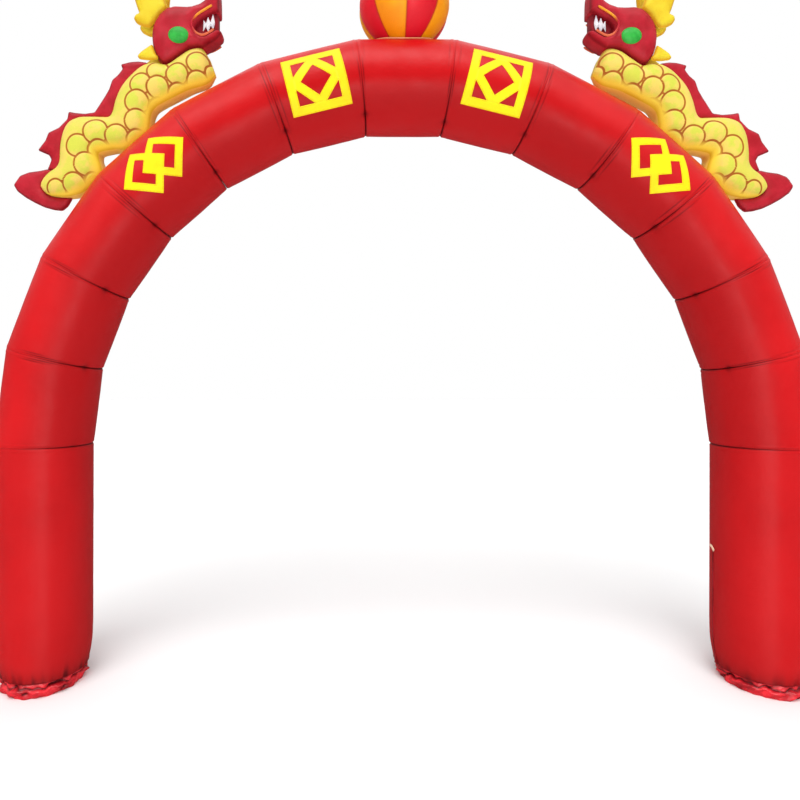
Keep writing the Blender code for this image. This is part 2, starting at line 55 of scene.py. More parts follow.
PANEL_NODES = sorted(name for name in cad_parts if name.startswith("panel_"))
PANEL_COUNT = len(PANEL_NODES)
CROWN = PANEL_COUNT // 2  # the number of the middle panel
LEG_LOW, LEG_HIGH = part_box("leg_right")
BASE_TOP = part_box("base_right")[1].z
TUBE_RADIUS = (LEG_HIGH.y - LEG_LOW.y) / 2
LEG_OUT = (LEG_HIGH.x + LEG_LOW.x) / 2
SPRING = LEG_HIGH.z  # where the legs end and the arch begins
TURN = math.pi / PANEL_COUNT
MITRE = math.tan(TURN / 2)
APOTHEM = LEG_OUT * math.cos(TURN / 2)
PANEL_LENGTH = 2 * LEG_OUT * math.sin(TURN / 2)
GAP = 0.0004  # between sewn neighbours
LIP_LOW, LIP_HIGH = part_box("dragon_right_lip_front")
MOUTH_CORNER = LIP_HIGH.x - 0.010  # how far out the mouth's back corner is
MOUTH_MIDDLE = LIP_LOW.z + 0.42 * (LIP_HIGH.z - LIP_LOW.z)

GIRTH = math.tau * TUBE_RADIUS
AROUND = 120  # points round the tube
BASE_AROUND = 3 * AROUND

# -------- meshes


def mark(mesh, label, numbers):
    """Gives each point of a mesh a number, for its finish to read."""
    attribute = mesh.attributes.new(label, "FLOAT", "POINT")
    attribute.data.foreach_set("value", np.asarray(numbers, np.float32))


def clean_mesh(name, points, faces, uvs=None, values=None):
    """A mesh with its faces pointing out. uvs holds a pair for each corner of each face, and
    values a named number for each point."""
    mesh = bpy.data.meshes.new(name)
    mesh.from_pydata([tuple(p) for p in points], [], [tuple(int(i) for i in f) for f in faces])
    if uvs is not None:
        layer = mesh.uv_layers.new(name="cloth")
        layer.data.foreach_set("uv", np.asarray(uvs, np.float32).ravel())
    for label, numbers in (values or {}).items():
        mark(mesh, label, numbers)
    shape = bmesh.new()
    shape.from_mesh(mesh)
    bmesh.ops.recalc_face_normals(shape, faces=shape.faces)
    if shape.calc_volume(signed=True) < 0:
        bmesh.ops.reverse_faces(shape, faces=shape.faces)
    shape.to_mesh(mesh)
    shape.free()
    mesh.shade_smooth()
    return mesh


def new_object(name, data):
    obj = bpy.data.objects.new(name, data)
    bpy.context.scene.collection.objects.link(obj)
    return obj


def piece(mesh, finish, slot, *nodes):
    """Puts a mesh among the arch's pieces by its own name, in the place of these nodes."""
    obj = new_object(mesh.name, mesh)
    mesh.materials.append(finish)
    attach(obj, "root")
    if nodes:
        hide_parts(*nodes)
    return obj


def ringed_mesh(name, rings, along, girth, values=None):
    """A closed skin over rings of points (rows, around, 3), with a fan over each end. Its
    texture runs in metres: along the rows, and round them by their girth."""
    rows, around = rings.shape[:2]
    points = np.concatenate([rings.reshape(-1, 3), [rings[0].mean(0)], [rings[-1].mean(0)]])
    index = np.arange(rows * around).reshape(rows, around)
    after = np.roll(index, -1, axis=1)
    quads = np.stack([index[:-1], after[:-1], after[1:], index[1:]], -1).reshape(-1, 4)
    first, last = rows * around, rows * around + 1
    fans = [(first, b, a) for a, b in zip(index[0], after[0])]
    fans += [(last, a, b) for a, b in zip(index[-1], after[-1])]
    u = np.arange(around + 1) * girth / around
    v0, u0 = np.meshgrid(along[:-1], u[:-1], indexing="ij")
    v1, u1 = np.meshgrid(along[1:], u[1:], indexing="ij")
    corners = [np.stack(pair, -1) for pair in ((u0, v0), (u1, v0), (u1, v1), (u0, v1))]
    uvs = np.concatenate([np.stack(corners, 2).reshape(-1, 2), np.zeros((3 * len(fans), 2))])
    if values:
        values = {k: np.concatenate([v.ravel(), [v[0].mean(), v[-1].mean()]]) for k, v in values.items()}
    return clean_mesh(name, points, list(quads) + fans, uvs, values)


def turns(count):
    """The angles of evenly spaced points round a circle."""
    return np.arange(count) * math.tau / count


def waves(seed, angle, counts, sharp=1.0):
    """An uneven wave round a closed line, from -1 to 1 or so."""
    chance = np.random.default_rng(seed)
    total = np.zeros_like(angle)
    for count in counts:
        total += chance.uniform(0.5, 1.0) * np.cos(count * angle + chance.uniform(0, math.tau))
    total /= 0.75 * len(counts)
    return np.sign(total) * np.abs(total) ** sharp


def way_along(line):
    """How far along a line each of its points is."""
    return np.concatenate([[0.0], np.cumsum(np.linalg.norm(np.diff(line, axis=0), axis=1))])


def bell(value, middle, width):
    return np.exp(-((value - middle) / width) ** 2)


# -------- finishes


def srgb(*steps):
    """A colour named in the usual 0 to 255 steps, as the linear values that Blender takes."""
    return tuple(((c / 255 + 0.055) / 1.055) ** 2.4 if c > 10 else c / 255 / 12.92 for c in steps)


WEAVE_DEPTH = 0.0003
BAND_SCALE = math.tau / 20  # a wave texture of this scale repeats once in a metre


class Nodes:
    """The nodes of a material or the world, with short ways to add to them."""

    def __init__(self, owner):
        owner.use_nodes = True
        self.owner = owner
        self.tree = owner.node_tree
        self.shader = self.tree.nodes.get("Principled BSDF")

    def add(self, kind, **settings):
        node = self.tree.nodes.new(kind)
        for key, value in settings.items():
            setattr(node, key, value)
        return node

    def join(self, value, socket):
        """Links an output to a socket, or sets the socket to a number or a colour."""
        if isinstance(value, bpy.types.NodeSocket):
            self.tree.links.new(value, socket)
        elif isinstance(value, (int, float)):
            socket.default_value = value
        else:
            socket.default_value = (*value, 1.0)

    def feed(self, node, **inputs):
        """Joins values to a node's inputs by name, with _ for a space."""
        for key, value in inputs.items():
            self.join(value, node.inputs[key.replace("_", " ")])

    def coords(self, kind, scale=(1, 1, 1)):
        source = self.add("ShaderNodeTexCoord")
        mapping = self.add("ShaderNodeMapping")
        mapping.inputs["Scale"].default_value = scale
        self.join(source.outputs[kind], mapping.inputs["Vector"])
        return mapping.outputs["Vector"]

    def noise(self, vector, scale, detail=3.0, roughness=0.5):
        node = self.add("ShaderNodeTexNoise")
        self.feed(node, Vector=vector, Scale=scale, Detail=detail, Roughness=roughness)
        return node.outputs["Fac"]

    def value(self, label):
        return self.add("ShaderNodeAttribute", attribute_name=label).outputs["Fac"]

    def math(self, operation, first, second=0.0):
        node = self.add("ShaderNodeMath", operation=operation)
        self.join(first, node.inputs[0])
        self.join(second, node.inputs[1])
        return node.outputs["Value"]

    def step(self, value, low, high, bottom=0.0, top=1.0):
        """Bottom at low and top at high, with a smooth rise between."""
        node = self.add("ShaderNodeMapRange", interpolation_type="SMOOTHSTEP")
        self.feed(node, Value=value, From_Min=low, From_Max=high, To_Min=bottom, To_Max=top)
        return node.outputs["Result"]

    def mix(self, share, first, second):
        """A mix of two colours, with this share of the second."""
        node = self.add("ShaderNodeMix", data_type="RGBA")
        for place, value in ((0, share), (6, first), (7, second)):
            self.join(value, node.inputs[place])
        return node.outputs[2]

    def bump(self, height, distance, strength=1.0, under=None):
        node = self.add("ShaderNodeBump")
        self.feed(node, Height=height, Distance=distance, Strength=strength)
        if under is not None:
            self.join(under, node.inputs["Normal"])
        return node.outputs["Normal"]

    def weave(self, kind, pitch, under):
        """Threads crossing at this pitch, in metres."""
        rows = []
        for direction in ("X", "Y" if kind == "UV" else "Z"):
            bands = self.add("ShaderNodeTexWave", wave_type="BANDS", bands_direction=direction)
            self.feed(bands, Vector=self.coords(kind), Scale=BAND_SCALE / pitch)
            rows.append(bands.outputs["Fac"])
        return self.bump(self.math("MULTIPLY", *rows), WEAVE_DEPTH, 0.6, under)


def cloth(name, colour_pair, rough, kind="Object", creases=0.004, tone=1.2, coat=0.0, shine=0.25,
          pitch=0.0025, brushed=0.0, paint=None):
    """Coated cloth: a colour that varies at random between two, fine creases, a weave and a changing
    gloss. tone is how finely the colour varies, and a brushed gloss is drawn out along the tube."""
    nodes = Nodes(bpy.data.materials.new(name))
    place = nodes.coords(kind)
    blotches = nodes.step(nodes.noise(place, tone, 4.0), 0.35, 0.7)
    base = nodes.mix(blotches, srgb(*colour_pair[0]), srgb(*colour_pair[1]))
    if paint:
        base = paint(nodes, base)
    flecks = nodes.step(nodes.noise(place, 240.0, 2.0), 0.35, 0.65, 0.94, 1.04)
    scaled = nodes.add("ShaderNodeVectorMath", operation="SCALE")
    nodes.join(base, scaled.inputs[0])
    nodes.join(flecks, scaled.inputs["Scale"])
    gloss = nodes.step(nodes.noise(place, 5.0, 4.0), 0.3, 0.7, rough - 0.05, rough + 0.07)
    nodes.feed(nodes.shader, Base_Color=scaled.outputs["Vector"], Roughness=gloss)
    soft = nodes.bump(nodes.noise(place, 7.0, 4.0, 0.55), creases, 0.5)
    drawn = nodes.noise(nodes.coords(kind, scale=(3.0, 14.0, 14.0)), 2.0, 5.0)
    lines = nodes.bump(drawn, creases / 2, 0.4, soft)
    nodes.feed(nodes.shader, Normal=nodes.weave(kind, pitch, lines), Specular_IOR_Level=shine,
               Coat_Weight=coat, Coat_Roughness=0.3)
    if brushed:
        along = nodes.add("ShaderNodeTangent", direction_type="UV_MAP", uv_map="cloth").outputs[0]
        nodes.feed(nodes.shader, Anisotropic=brushed, Anisotropic_Rotation=0.25, Tangent=along)
    return nodes.owner


# Painted shade: a deeper red where the arch shades itself, and a near black red in its seams, creases and
# folds.
ARCH_SHADE_RED, DEEP_SHADE_RED = srgb(170, 6, 12), srgb(70, 0, 5)
GOLD = (238, 214, 46), (232, 196, 32)
PALE_GOLD, LIME = srgb(240, 212, 100), srgb(216, 218, 76)
BELLY_GOLD, RIM_GOLD = srgb(255, 232, 74), srgb(255, 226, 96)
BROWN, THREAD, LOWER_LIP = srgb(176, 98, 22), srgb(214, 150, 0), srgb(226, 112, 72)
CRIMSON = (194, 30, 48), (172, 18, 34)


def shaded_where_tucked(strength, shade):
    """A paint that takes cloth towards this colour where it is tucked in: painted shade in seams, creases,
    folds and hollows.
    """
    def paint(nodes, base):
        return nodes.mix(nodes.step(nodes.value("painted_shade"), 0.0, 1.0, 0.0, strength), base, shade)
    return paint


def red_shade_paint(nodes, base):
    """Painted shade: a deeper red under the arch and along the sides of the legs, where the arch
    shades itself, and the darkest red where the cloth is tucked into a seam or a crease."""
    shaded = nodes.mix(nodes.step(nodes.value("under"), 0.35, 0.85, 0.0, 0.75), base, ARCH_SHADE_RED)
    return shaded_where_tucked(0.88, DEEP_SHADE_RED)(nodes, shaded)


# Painted shade towards these colours near the seams round the puffed pieces and along the ball's seams; on
# the eye it also gives its printed outline.
EDGE_SHADE_PAINT = shaded_where_tucked(0.55, srgb(70, 4, 10))
GOLD_EDGE_SHADE = shaded_where_tucked(0.7, srgb(222, 140, 10))
GORE_SEAM_SHADE = shaded_where_tucked(0.75, srgb(190, 40, 6))
STITCH_INSET = 0.009
STITCH_HALF = 0.001


def stitch_paint(nodes, base):
    """A broken line of thread inside the edge of an applique."""
    place = nodes.noise(nodes.coords("Object"), 60.0, 0.0)
    off_line = nodes.math("ABSOLUTE", nodes.math("SUBTRACT", nodes.value("edge"), STITCH_INSET))
    line = nodes.math("SUBTRACT", 1.0, nodes.step(off_line, STITCH_HALF, 3 * STITCH_HALF))
    share = nodes.math("MULTIPLY", line, nodes.step(place, 0.40, 0.5, 0.1, 0.6))
    return nodes.mix(share, base, THREAD)


def lip_paint(nodes, base):
    """The lips are gold above and coral below, and fade into the head at their back corner."""
    split = nodes.add("ShaderNodeSeparateXYZ")
    nodes.join(nodes.coords("Object"), split.inputs[0])
    below = nodes.step(split.outputs["Z"], MOUTH_MIDDLE - 0.02, MOUTH_MIDDLE + 0.02, 1.0, 0.0)
    out = nodes.math("ABSOLUTE", split.outputs["X"])
    back = nodes.step(out, MOUTH_CORNER - 0.075, MOUTH_CORNER - 0.02)
    return nodes.mix(back, nodes.mix(below, base, LOWER_LIP), srgb(*CRIMSON[0]))


def scale_paint(nodes, base):
    """The dragon's scales: lime patches in pale gold, with brown outlines, and a plain rim."""
    patches = nodes.step(nodes.noise(nodes.coords("Object"), 9.0), 0.40, 0.60)
    patches = nodes.math("MULTIPLY", patches, nodes.step(nodes.value("centre"), 0.0, 0.5))
    scales = nodes.mix(patches, PALE_GOLD, LIME)
    lined = nodes.mix(nodes.step(nodes.value("ink"), 0.006, 0.012, 1.0, 0.0), scales, BROWN)
    bellied = nodes.mix(nodes.value("belly"), lined, BELLY_GOLD)
    rimmed = nodes.mix(nodes.step(nodes.value("rim"), 0.0, 1.0), bellied, base)
    return nodes.mix(nodes.step(nodes.value("rim"), 0.85, 1.0), rimmed, RIM_GOLD)


RED_CLOTH = cloth("red_skin", [(212, 16, 22), (198, 9, 16)], 0.42, "UV", creases=0.006, shine=0.22,
                  brushed=0.8, paint=red_shade_paint)
# The gathered base's colour runs at random from a brighter red than the tube's to a dark maroon: painted
# highlight and shade for its crumpled facets.
BASE_CLOTH = cloth("red_gathered", [(250, 48, 60), (150, 8, 20)], 0.30, "UV", tone=5.0, coat=0.1, shine=0.35,
                   paint=red_shade_paint)
YELLOW_CLOTH = cloth("yellow_applique", [(255, 238, 8), (252, 222, 4)], 0.55, creases=0.001, tone=3.0,
                     paint=stitch_paint)
SCALE_CLOTH = cloth("dragon_scales", GOLD, 0.5, tone=5.0, paint=scale_paint)
GOLD_CLOTH = cloth("gold_skin", GOLD, 0.5, tone=5.0, paint=GOLD_EDGE_SHADE)
CRIMSON_CLOTH = cloth("crimson_skin", CRIMSON, 0.48, tone=6.0, paint=EDGE_SHADE_PAINT)
LIP_CLOTH = cloth("lip_piping", [(250, 172, 40), (244, 152, 30)], 0.45, tone=9.0, creases=0.001,
                  paint=lip_paint)
GREEN_CLOTH = cloth("green_skin", [(60, 190, 74), (44, 166, 60)], 0.4, tone=14.0, paint=EDGE_SHADE_PAINT)
ORANGE_CLOTH = cloth("orange_skin", [(254, 184, 10), (252, 152, 8)], 0.42, tone=2.5, paint=GORE_SEAM_SHADE)
BALL_RED_CLOTH = cloth("ball_red_skin", [(238, 34, 48), (222, 18, 40)], 0.4, tone=2.5, paint=GORE_SEAM_SHADE)
PIPING_CLOTH = cloth("peach_piping", [(248, 176, 126), (238, 150, 100)], 0.5, tone=8.0, creases=0.001)
CREAM_CLOTH = cloth("cream_binding", [(255, 226, 196), (250, 206, 172)], 0.6, tone=8.0, creases=0.001)
DARK_CLOTH = cloth("dark_lining", [(160, 22, 40), (104, 10, 22)], 0.6, tone=9.0)
WHITE_CLOTH = cloth("white_padding", [(244, 244, 248), (214, 212, 224)], 0.5, tone=9.0)
ZIP_CLOTH = cloth("zip_weave", [(176, 16, 30), (140, 8, 16)], 0.5, tone=12.0, creases=0.0005, pitch=0.0012)

# -------- the tube

SEAM_DEPTH = 0.008
SEAM_HALF = 0.010  # half the width of the groove at a seam
SEAM_LIP = 0.0022  # how far the cloth stands up beside the groove
PUCKER_DEPTH = 0.006
PUCKER_REACH = 0.05
CREASE_DEPTH = 0.0055  # of the lines that run round the front and back near a seam
CREASE_HALF = 0.0055
PINCH_DEPTH = 0.013  # of the deep folds that face the opening, at the seams
PINCH_TURN = math.pi - 0.62
PINCH_REACH = 0.038


def across_seam(theta, away, seed, bend):
    """How deep the cloth is tucked in near a seam, and the painted shade in its groove and folds.
    away is the distance from the seam, and bend is 1 where the arch turns and 0 where it doesn't."""
    inner = 0.5 - 0.5 * np.cos(theta)
    groove = SEAM_DEPTH * np.exp(-(away / SEAM_HALF) ** 1.4) * (0.25 + 0.75 * inner)
    lip = SEAM_LIP * bell(away, 2.4 * SEAM_HALF, SEAM_HALF)
    strength = 0.25 + bend * 0.75 * inner ** 2
    folds = np.maximum(waves(seed, theta, (19, 29, 37, 53), 1.3), 0)
    pucker = PUCKER_DEPTH * strength * folds * np.exp(-away / PUCKER_REACH)
    depth = groove - lip + pucker
    # dark is painted shade: in the seam's groove, deepest on the side that faces the opening, and in the
    # creases and pinched folds below.
    dark = np.exp(-(away / (0.9 * SEAM_HALF)) ** 2) * (0.04 + 0.90 * inner ** 1.3)
    chance = np.random.default_rng(seed + 500)
    for facing in (1, -1):
        turned = theta if facing > 0 else math.tau - theta
        for order in range(2):
            middle, spread = chance.uniform(1.1, 2.2), chance.uniform(0.35, 0.7)
            line = (order + 1) * chance.uniform(0.020, 0.025)
            crease = bell(away, line + 0.003 * np.sin(turned * 2.5 + order), CREASE_HALF)
            crease = crease * bell(turned, middle, spread)
            depth = depth + CREASE_DEPTH * bend * crease
            dark = np.maximum(dark, (0.85 - 0.2 * order) * bend * crease)
        pinch = bell(turned, PINCH_TURN - 0.2 * chance.uniform(-1, 1), 0.08)
        pinch = pinch * np.exp(-away / PINCH_REACH) * bend
        depth = depth + PINCH_DEPTH * pinch
        dark = np.maximum(dark, 0.9 * pinch)
    return depth, dark


def sagging(theta, along, seed):
    """The slow unevenness of taut cloth."""
    slow = waves(seed, theta, (2, 3, 5)) * np.cos(along * 2.2 + seed)
    quick = waves(seed + 90, theta + 0.5 * np.sin(along * 5.0), (7, 9, 13)) * np.cos(along * 7.0 + seed)
    return 0.0016 * slow + 0.0009 * quick


def spaced_rows(length, fine=0.003, coarse=0.028, near=0.09):
    """Distances from one seam to the next, closer together near both."""
    steps, at = [0.0], 0.0
    while at < length / 2:
        at += fine + (coarse - fine) * min(1.0, at / near)
        steps.append(min(at, length / 2))
    half = np.array(steps)
    return np.concatenate([half, (length - half[:-1])[::-1]])


PANEL_ANGLE = math.tau / 24  # between two edges of the solids' own flats
FRONT_AXIS = np.array([0.0, 1.0, 0.0])


def panel_axes(number):
    """A panel's middle, the way out from the arch's centre there, and the way along it."""
    angle = (number - (PANEL_COUNT - 1) / 2) * TURN
    out = np.array([math.sin(angle), 0.0, math.cos(angle)])
    ahead = np.array([math.cos(angle), 0.0, -math.sin(angle)])
    return np.array([0.0, 0.0, SPRING]) + APOTHEM * out, out, ahead


def panel_surface(number, theta, along):
    """A panel's radius, and the painted shade in its seams and folds. along runs from seam to seam."""
    bends = [0.5 if number == 0 else 1.0, 0.5 if number == PANEL_COUNT - 1 else 1.0]
    start_depth, start_dark = across_seam(theta, along, 10 * number, bends[0])
    end_depth, end_dark = across_seam(theta, PANEL_LENGTH - along, 10 * number + 10, bends[1])
    share = along / PANEL_LENGTH * 2 - 1
    radius = TUBE_RADIUS - start_depth - end_depth + sagging(theta, along, number) + 0.003 * (1 - share ** 2)
    return radius, np.maximum(start_dark, end_dark)


def panel_points(number, theta, radius, lean):
    """Points round a panel: their angle, distance from its middle line, and way along it."""
    middle, out, ahead = panel_axes(number)
    points = middle + (radius * np.cos(theta))[..., None] * out
    points = points - (radius * np.sin(theta))[..., None] * FRONT_AXIS
    return points + lean[..., None] * ahead


def add_panel(number):
    """One mitred panel of the arch, between two seams."""
    rows = spaced_rows(PANEL_LENGTH)
    along, theta = np.meshgrid(rows, turns(AROUND), indexing="ij")
    radius, dark = panel_surface(number, theta, along)
    share = along / PANEL_LENGTH * 2 - 1
    lean = share * (PANEL_LENGTH / 2 - GAP / 2 + TUBE_RADIUS * np.cos(theta) * MITRE)
    points = panel_points(number, theta, radius, lean)
    # Painted shade: into the seams and folds, and a deeper red towards the side that faces the opening.
    values = {"painted_shade": dark, "under": 0.5 - 0.5 * np.cos(theta)}
    rows = rows + number * PANEL_LENGTH
    mesh = ringed_mesh(f"skin_{number + 1:02d}", points, rows, GIRTH, values)
    piece(mesh, RED_CLOTH, "red_cloth", PANEL_NODES[number])


def leg_points(side, theta, radius, height):
    """Points round one leg. Angle 0 faces away from the opening, and 90 degrees the front."""
    x = side * (LEG_OUT + radius * np.cos(theta))
    return np.stack([x, -radius * np.sin(theta), height], -1)


NECK_DEPTH = 0.040  # how far a leg narrows towards its base, and over what height
NECK_REACH = 0.15
GATHER_DEPTH = 0.006
GATHER_REACH = 0.06
PLEAT_DEPTH = 0.007


def leg_surface(word, theta, down):
    """A leg's radius this far down from the arch's seam, and the painted shade in its folds and at its foot.
    """
    seed = 700 if word == "left" else 800
    up = SPRING - GAP - down - BASE_TOP
    depth, dark = across_seam(theta, down, seed, 0.3)
    radius = TUBE_RADIUS - depth + sagging(theta, down, seed + 3)
    radius = radius - NECK_DEPTH * np.exp(-np.maximum(up / NECK_REACH, 0) ** 1.5)
    folds = waves(seed + 7, theta, (13, 21, 34, 47), 0.8)
    gathered = np.exp(-up / GATHER_REACH)
    radius = radius + GATHER_DEPTH * folds * gathered
    reach = 0.05 + 0.05 * (1 + waves(seed + 8, theta, (5, 9, 14)))
    pleats = np.maximum(waves(seed + 9, theta, (11, 17, 27), 1.5), 0)
    low_down = np.exp(-(up / reach) ** 2)
    radius = radius - PLEAT_DEPTH * pleats * low_down
    # Painted shade: at the leg's foot, darker towards the bottom, and in its pleats and gathered folds.
    dark = np.maximum(dark, 0.75 * np.exp(-up / 0.012))
    dark = np.maximum(dark, 0.55 * np.exp(-up / 0.11) + 0.75 * pleats * low_down)
    dark = np.maximum(dark, 0.55 * np.maximum(-folds, 0) * gathered)
    return radius, np.minimum(dark, 1.0)


def add_leg(side, word):
    """A leg's tube, from the arch's seam down to where it is gathered into its base."""
    length = SPRING - GAP - BASE_TOP
    upper = spaced_rows(2 * length)
    lower = length - spaced_rows(2 * length, fine=0.005)
    rows = np.concatenate([upper[upper <= length / 2], lower[lower > length / 2 + 0.01]])
    rows = np.unique(np.round(rows, 5))
    down, theta = np.meshgrid(rows, turns(AROUND), indexing="ij")
    radius, dark = leg_surface(word, theta, down)
    points = leg_points(side, theta, radius, SPRING - GAP - down)
    # Painted shade: a deeper red down the leg's outer and inner sides than on its front and back, and into
    # its folds.
    values = {"painted_shade": dark, "under": 0.75 - 0.20 * np.abs(np.sin(theta))}
    mesh = ringed_mesh(f"skin_leg_{word}", points, rows, GIRTH, values)
    piece(mesh, RED_CLOTH, "red_cloth", f"leg_{word}")


def zigzag(seed, angle, counts, height, lean):
    """Sharp folds round a gathered edge, which lean as they go down."""
    chance = np.random.default_rng(seed)
    total = np.zeros_like(angle)
    for count in counts:
        phase = chance.uniform(0, math.tau)
        tilt = chance.uniform(-lean, lean)
        turn = (count * angle + tilt * height / 0.13 + phase) / math.tau
        total += chance.uniform(0.6, 1.0) * (4 * np.abs(turn - np.floor(turn + 0.5)) - 1)
    return total / len(counts)


BASE_RADIUS = 0.384
BASE_LIMIT = 0.442  # no fold reaches further out
FRONT_BULGE = 0.050
BASE_TAPER = 0.020
BIG_FOLD, FINE_FOLD = 0.042, 0.012
LEDGE_DEPTH = 0.016  # of the crumpled hollow round the band
ROLL_HEIGHT = 0.012  # of the roll of cloth below it
HEM_HEIGHT = 0.010


def add_base(side, word):
    """The gathered base: a crumpled band of slack cloth between the leg and the ground."""
    seed = 31 if side < 0 else 47
    heights = np.linspace(BASE_TOP - GAP, 0.0, 40)
    height, theta = np.meshgrid(heights, turns(BASE_AROUND), indexing="ij")
    down = 1 - height / BASE_TOP
    front = np.clip(np.sin(theta), 0, 1) ** 2 * np.clip(down * 2.5, 0, 1)
    belly = BASE_RADIUS + FRONT_BULGE * front - BASE_TAPER * down ** 3
    big = zigzag(seed, theta, (6, 9, 13), height, 9.0)
    fine = zigzag(seed + 1, theta, (17, 24), height, 12.0)
    slack = np.clip(down * 4.0, 0, 1) * (1 - 0.45 * down ** 2)
    radius = belly + slack * (BIG_FOLD * (big - 0.25) + FINE_FOLD * fine)
    line = 0.30 + 0.16 * waves(seed + 2, theta, (5, 9, 14, 23))
    ledge = bell(down, line, 0.08)
    radius -= LEDGE_DEPTH * ledge
    roll = bell(down, line + 0.20, 0.10)
    radius += ROLL_HEIGHT * roll
    radius += bell(down, 1.0, 0.12) * HEM_HEIGHT * waves(seed + 5, theta, (6, 11, 19, 28))
    # Painted shade in the crumpled hollow, in the deep folds and at the very bottom, lighter on the roll of
    # cloth.
    folds = np.maximum(-fine - 0.45, 0) + 1.8 * np.maximum(-big - 0.30, 0)
    dark = np.clip(0.85 * ledge + 1.6 * folds * slack, 0, 1) * (1 - 0.6 * roll)
    dark = np.maximum(dark, 0.9 * np.exp(-down / 0.06))
    points = leg_points(side, theta, np.minimum(radius, BASE_LIMIT), height)
    mesh = ringed_mesh(f"skin_base_{word}", points, heights, GIRTH, {"painted_shade": dark})
    piece(mesh, BASE_CLOTH, "red_cloth", f"base_{word}")


for panel_number in range(PANEL_COUNT):
    add_panel(panel_number)
for leg_side, leg_word in ((-1, "left"), (1, "right")):
    add_leg(leg_side, leg_word)
    add_base(leg_side, leg_word)

# -------- the zip


def strip_mesh(name, middles, sides, lifts, width, thickness):
    """A thin closed strip along a line of points: sides point across it and lifts away from
    what it lies on."""
    half = width / 2
    profile = [(-half, 0.0), (-half, thickness), (half, thickness), (half, 0.0)]
    rings = np.stack([middles + across * sides + up * lifts for across, up in profile], 1)
    return ringed_mesh(name, rings, way_along(middles), 2 * (width + thickness))


ZIP_WIDTH = 0.034
TOOTH_PITCH = 0.005
TOOTH_SIZE = (0.0022, 0.006, 0.0030)
TAB_HALF = 0.040  # half the length of the pull's tab, and how far its tip hangs
TAB_DROP = 0.036
TAB_WIDTH = 0.024
TAB_THICKNESS = 0.007
SLIDER_PLACE = (-0.003, 0, -0.014)
SLIDER_SIZE = (0.008, 0.016, 0.022)


def add_zip():
    """The deflation zip on the right leg: its tape, its teeth, and a pull at its top, which is a
    slider with a tab that hooks down to one side."""
    low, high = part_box("zip_tape")
    turn = math.pi + PANEL_ANGLE / 2
    heights = np.linspace(low.z, high.z, 160)
    out = np.array([math.cos(turn), -math.sin(turn), 0.0])
    side = np.array([math.sin(turn), math.cos(turn), 0.0])
    radius, _ = leg_surface("right", np.full_like(heights, turn), SPRING - GAP - heights)
    face = np.maximum(radius * math.cos(PANEL_ANGLE / 2), TUBE_RADIUS * 0.93) + 0.004
    middles = np.array([LEG_OUT, 0.0, 0.0]) + face[:, None] * out
    middles[:, 2] = heights
    tape = strip_mesh("zip_band", middles, side, out, ZIP_WIDTH, 0.0015)
    piece(tape, ZIP_CLOTH, "zip_cloth", "zip_tape")

    teeth = bmesh.new()
    for number in range(int((high.z - low.z - 2 * TOOTH_PITCH) / TOOTH_PITCH)):
        up = low.z + TOOTH_PITCH + number * TOOTH_PITCH
        at = np.array([np.interp(up, heights, middles[:, axis]) for axis in range(3)])
        lean = 0.0012 if number % 2 else -0.0012
        where = Matrix.Translation(Vector(at + lean * side + 0.0024 * out)) @ Matrix.Rotation(-turn, 4, "Z")
        bmesh.ops.create_cube(teeth, size=1.0, matrix=where @ Matrix.Diagonal((*TOOTH_SIZE, 1.0)))
    row = bpy.data.meshes.new("zip_teeth")
    teeth.to_mesh(row)
    teeth.free()
    piece(row, ZIP_CLOTH, "zip_cloth")

    low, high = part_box("zip_pull")
    lift = face[-1] + 0.007
    at = np.array([LEG_OUT + lift * out[0], lift * out[1], (low.z + high.z) / 2])
    bend = np.linspace(0.0, 1.0, 12)[:, None]
    up = np.array([0.0, 0.0, 1.0])
    hook = at + TAB_HALF * (2 * bend - 1) * side + (0.012 - TAB_DROP * bend ** 2) * up
    across = 2 * TAB_DROP * bend * side + 2 * TAB_HALF * up
    across = across / np.linalg.norm(across, axis=1)[:, None]
    tab = strip_mesh("zip_tab", hook, across, out, TAB_WIDTH, TAB_THICKNESS)
    pull = bmesh.new()
    pull.from_mesh(tab)
    where = Matrix.Translation(Vector(at)) @ Matrix.Rotation(-turn, 4, "Z")
    slider = where @ Matrix.Translation(SLIDER_PLACE) @ Matrix.Diagonal((*SLIDER_SIZE, 1.0))
    bmesh.ops.create_cube(pull, size=1.0, matrix=slider)
    pull.to_mesh(tab)
    pull.free()
    tab.set_sharp_from_angle(angle=math.radians(40))
    piece(tab, CREAM_CLOTH, "pale_cloth", "zip_pull")


add_zip()

# -------- the motifs

LOZENGE_HALF = 0.250
LOZENGE_APART = 0.115
LOZENGE_STROKE = 0.100
SQUARE_HALF = 0.285
SQUARE_STROKE = 0.082
APPLIQUE_LIFT = 0.002
APPLIQUE_STEP = 0.014  # from one bend of the cloth to the next
APPLIQUE_THICKNESS = 0.0012


def double_lozenge():
    """Two overlapped lozenge frames: (outline, holes)."""
    apart, outer = LOZENGE_APART, LOZENGE_HALF
    inner = outer - LOZENGE_STROKE
    notch = LOZENGE_STROKE / 2
    outline = [
        (-apart - outer, 0), (-apart, outer), (0, outer - apart), (apart, outer),
        (apart + outer, 0), (apart, -outer), (0, apart - outer), (-apart, -outer),
    ]
    side = [
        (apart + inner, 0), (apart, inner), (notch, outer - apart - notch),
        (outer - apart, 0), (notch, apart - outer + notch), (apart, -inner),
    ]
    return outline, [side, [(-across, up) for across, up in side]]


